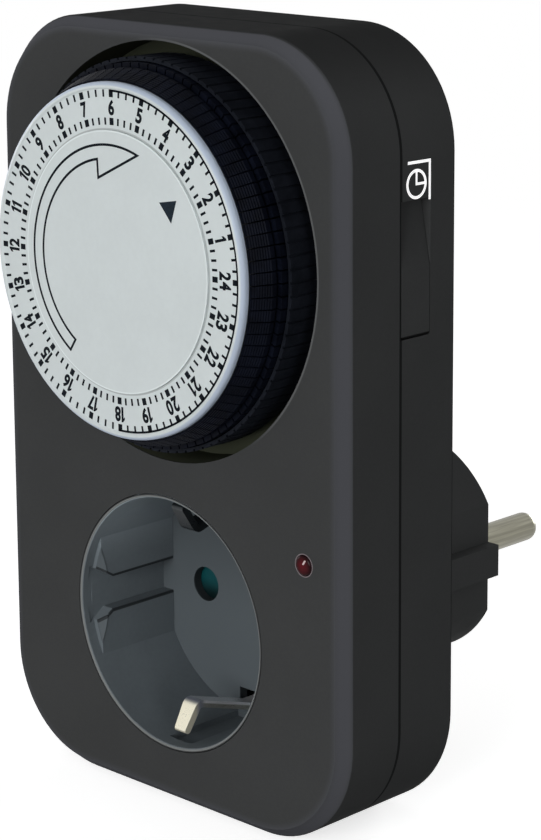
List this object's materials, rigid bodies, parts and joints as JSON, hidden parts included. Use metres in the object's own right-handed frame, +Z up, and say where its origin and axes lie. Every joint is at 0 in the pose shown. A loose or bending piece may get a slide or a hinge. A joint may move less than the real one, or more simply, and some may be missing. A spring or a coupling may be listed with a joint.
{
  "type": "plug-in timer switch",
  "caption": "Plug-in mains timer switch: a rounded housing with a round dial ringed by push-in tabs above an earthed socket, a side rocker and an earthed plug on the back.",
  "frame": {"origin": "middle of the plug's face, between its two pins", "axes": "+Z up along the housing, +Y out of the plug's face into the wall, +X to the right seen from the front"},
  "size_m": [0.073, 0.085, 0.12],
  "materials": {
    "front_shell": "fine matte texture",
    "plug_shell": "fine matte texture",
    "rear_shell": "fine matte texture",
    "socket_cup": "satin",
    "socket_contacts": "plain",
    "earth_clips": "bright",
    "plug_pins": "nickel plated",
    "plug_earth": "bright",
    "neutral_bar": "plain",
    "live_bar_in": "plain",
    "live_bar_out": "plain",
    "switch_base": "moulded",
    "fixed_contact": "plain",
    "lever_spring": "drawn wire",
    "shutter_spring": "drawn wire",
    "indicator_lens": "clear dark red",
    "neon_lamp": "clear",
    "motor_can": "zinc plated",
    "motor_coil": "enamelled copper winding",
    "idler_axle": "ground",
    "gear_bridge": "zinc plated",
    "inner_screws": "zinc plated",
    "housing_screws": "zinc plated",
    "dial_axle": "ground",
    "dial_screw": "zinc plated",
    "dial_drum": "satin",
    "dial_face": "satin",
    "dial_cap": "satin",
    "rocker": "fine matte texture",
    "socket_shutter": "satin",
    "sensing_lever": "moulded",
    "moving_blade": "spring bronze",
    "idler_gear": "moulded",
    "motor_pinion": "cut",
    "motor_rotor": "magnet",
    "riders": "satin"
  },
  "bodies": {
    "housing": {"front_shell": "front_shell", "rear_shell": "rear_shell", "plug_shell": "plug_shell", "socket_cup": "socket_cup", "socket_contacts": "socket_contacts", "earth_clips": "earth_clips", "plug_pins": "plug_pins", "plug_earth": "plug_earth", "neutral_bar": "neutral_bar", "live_bar_in": "live_bar_in", "live_bar_out": "live_bar_out", "switch_base": "switch_base", "fixed_contact": "fixed_contact", "lever_spring": "lever_spring", "shutter_spring": "shutter_spring", "indicator_lens": "indicator_lens", "neon_lamp": "neon_lamp", "motor_can": "motor_can", "motor_coil": "motor_coil", "idler_axle": "idler_axle", "gear_bridge": "gear_bridge", "inner_screws": "inner_screws", "housing_screws": "housing_screws", "dial_axle": "dial_axle", "dial_screw": "dial_screw"},
    "dial": {"dial_drum": "dial_drum", "dial_face": "dial_face", "dial_cap": "dial_cap"},
    "rocker": {"rocker": "rocker"},
    "shutter": {"socket_shutter": "socket_shutter"},
    "lever": {"sensing_lever": "sensing_lever"},
    "blade": {"moving_blade": "moving_blade"},
    "idler": {"idler_gear": "idler_gear"},
    "pinion": {"motor_pinion": "motor_pinion"},
    "rotor": {"motor_rotor": "motor_rotor"},
    "tabs_01": {"riders_01": "riders"},
    "tabs_02": {"riders_02": "riders"},
    "tabs_03": {"riders_03": "riders"},
    "tabs_04": {"riders_04": "riders"},
    "tabs_05": {"riders_05": "riders"},
    "tabs_06": {"riders_06": "riders"},
    "tabs_07": {"riders_07": "riders"},
    "tabs_08": {"riders_08": "riders"},
    "tabs_09": {"riders_09": "riders"},
    "tabs_10": {"riders_10": "riders"},
    "tabs_11": {"riders_11": "riders"},
    "tabs_12": {"riders_12": "riders"},
    "tabs_13": {"riders_13": "riders"},
    "tabs_14": {"riders_14": "riders"},
    "tabs_15": {"riders_15": "riders"},
    "tabs_16": {"riders_16": "riders"},
    "tabs_17": {"riders_17": "riders"},
    "tabs_18": {"riders_18": "riders"},
    "tabs_19": {"riders_19": "riders"},
    "tabs_20": {"riders_20": "riders"},
    "tabs_21": {"riders_21": "riders"},
    "tabs_22": {"riders_22": "riders"},
    "tabs_23": {"riders_23": "riders"},
    "tabs_24": {"riders_24": "riders"}
  },
  "joints": [
    {"name": "dial_turn", "type": "hinge", "parent": "housing", "child": "dial", "pos_m": [0, -0.055, 0.05635], "axis": [0, 1, 0], "continuous": true},
    {"name": "rocker_tilt", "type": "hinge", "parent": "housing", "child": "rocker", "pos_m": [0.0328, -0.04125, 0.05675], "axis": [0, 1, 0], "range_deg": [0, 10]},
    {"name": "shutter_turn", "type": "hinge", "parent": "housing", "child": "shutter", "pos_m": [0, -0.0367, -0.001], "axis": [0, 1, 0], "range_deg": [0, 45], "stiffness_Nm_per_rad": 0.002, "springref_deg": -11.46},
    {"name": "lever_swing", "type": "hinge", "parent": "housing", "child": "lever", "pos_m": [0.027, -0.0458, 0.061], "axis": [1, 0, 0], "range_deg": [0, 5], "stiffness_Nm_per_rad": 0.004, "springref_deg": -11.46},
    {"name": "blade_bend", "type": "hinge", "parent": "housing", "child": "blade", "pos_m": [0.027, -0.04145, 0.03565], "axis": [-1, 0, 0], "range_deg": [0, 12]},
    {"name": "idler_turn", "type": "hinge", "parent": "housing", "child": "idler", "pos_m": [0, -0.05, 0.03685], "axis": [0, 1, 0], "continuous": true},
    {"name": "pinion_turn", "type": "hinge", "parent": "housing", "child": "pinion", "pos_m": [0, -0.046, 0.05185], "axis": [0, 1, 0], "continuous": true},
    {"name": "rotor_turn", "type": "hinge", "parent": "housing", "child": "rotor", "pos_m": [0, -0.04, 0.0605], "axis": [0, 1, 0], "continuous": true},
    {"name": "tab_push_01", "type": "slide", "parent": "dial", "child": "tabs_01", "axis": [0, 1, 0], "range_m": [0, 0.0024]},
    {"name": "tab_push_02", "type": "slide", "parent": "dial", "child": "tabs_02", "axis": [0, 1, 0], "range_m": [0, 0.0024]},
    {"name": "tab_push_03", "type": "slide", "parent": "dial", "child": "tabs_03", "axis": [0, 1, 0], "range_m": [0, 0.0024]},
    {"name": "tab_push_04", "type": "slide", "parent": "dial", "child": "tabs_04", "axis": [0, 1, 0], "range_m": [0, 0.0024]},
    {"name": "tab_push_05", "type": "slide", "parent": "dial", "child": "tabs_05", "axis": [0, 1, 0], "range_m": [0, 0.0024]},
    {"name": "tab_push_06", "type": "slide", "parent": "dial", "child": "tabs_06", "axis": [0, 1, 0], "range_m": [0, 0.0024]},
    {"name": "tab_push_07", "type": "slide", "parent": "dial", "child": "tabs_07", "axis": [0, 1, 0], "range_m": [0, 0.0024]},
    {"name": "tab_push_08", "type": "slide", "parent": "dial", "child": "tabs_08", "axis": [0, 1, 0], "range_m": [0, 0.0024]},
    {"name": "tab_push_09", "type": "slide", "parent": "dial", "child": "tabs_09", "axis": [0, 1, 0], "range_m": [0, 0.0024]},
    {"name": "tab_push_10", "type": "slide", "parent": "dial", "child": "tabs_10", "axis": [0, 1, 0], "range_m": [0, 0.0024]},
    {"name": "tab_push_11", "type": "slide", "parent": "dial", "child": "tabs_11", "axis": [0, 1, 0], "range_m": [0, 0.0024]},
    {"name": "tab_push_12", "type": "slide", "parent": "dial", "child": "tabs_12", "axis": [0, 1, 0], "range_m": [0, 0.0024]},
    {"name": "tab_push_13", "type": "slide", "parent": "dial", "child": "tabs_13", "axis": [0, 1, 0], "range_m": [0, 0.0024]},
    {"name": "tab_push_14", "type": "slide", "parent": "dial", "child": "tabs_14", "axis": [0, 1, 0], "range_m": [0, 0.0024]},
    {"name": "tab_push_15", "type": "slide", "parent": "dial", "child": "tabs_15", "axis": [0, 1, 0], "range_m": [0, 0.0024]},
    {"name": "tab_push_16", "type": "slide", "parent": "dial", "child": "tabs_16", "axis": [0, 1, 0], "range_m": [0, 0.0024]},
    {"name": "tab_push_17", "type": "slide", "parent": "dial", "child": "tabs_17", "axis": [0, 1, 0], "range_m": [0, 0.0024]},
    {"name": "tab_push_18", "type": "slide", "parent": "dial", "child": "tabs_18", "axis": [0, 1, 0], "range_m": [0, 0.0024]},
    {"name": "tab_push_19", "type": "slide", "parent": "dial", "child": "tabs_19", "axis": [0, 1, 0], "range_m": [0, 0.0024]},
    {"name": "tab_push_20", "type": "slide", "parent": "dial", "child": "tabs_20", "axis": [0, 1, 0], "range_m": [0, 0.0024]},
    {"name": "tab_push_21", "type": "slide", "parent": "dial", "child": "tabs_21", "axis": [0, 1, 0], "range_m": [0, 0.0024]},
    {"name": "tab_push_22", "type": "slide", "parent": "dial", "child": "tabs_22", "axis": [0, 1, 0], "range_m": [0, 0.0024]},
    {"name": "tab_push_23", "type": "slide", "parent": "dial", "child": "tabs_23", "axis": [0, 1, 0], "range_m": [0, 0.0024]},
    {"name": "tab_push_24", "type": "slide", "parent": "dial", "child": "tabs_24", "axis": [0, 1, 0], "range_m": [0, 0.0024]}
  ],
  "couplings": [
    {"joint": "idler_turn", "follows": "dial_turn", "ratio": 7.5},
    {"joint": "pinion_turn", "follows": "dial_turn", "ratio": -30},
    {"joint": "blade_bend", "follows": "lever_swing", "ratio": 2.4}
  ]
}
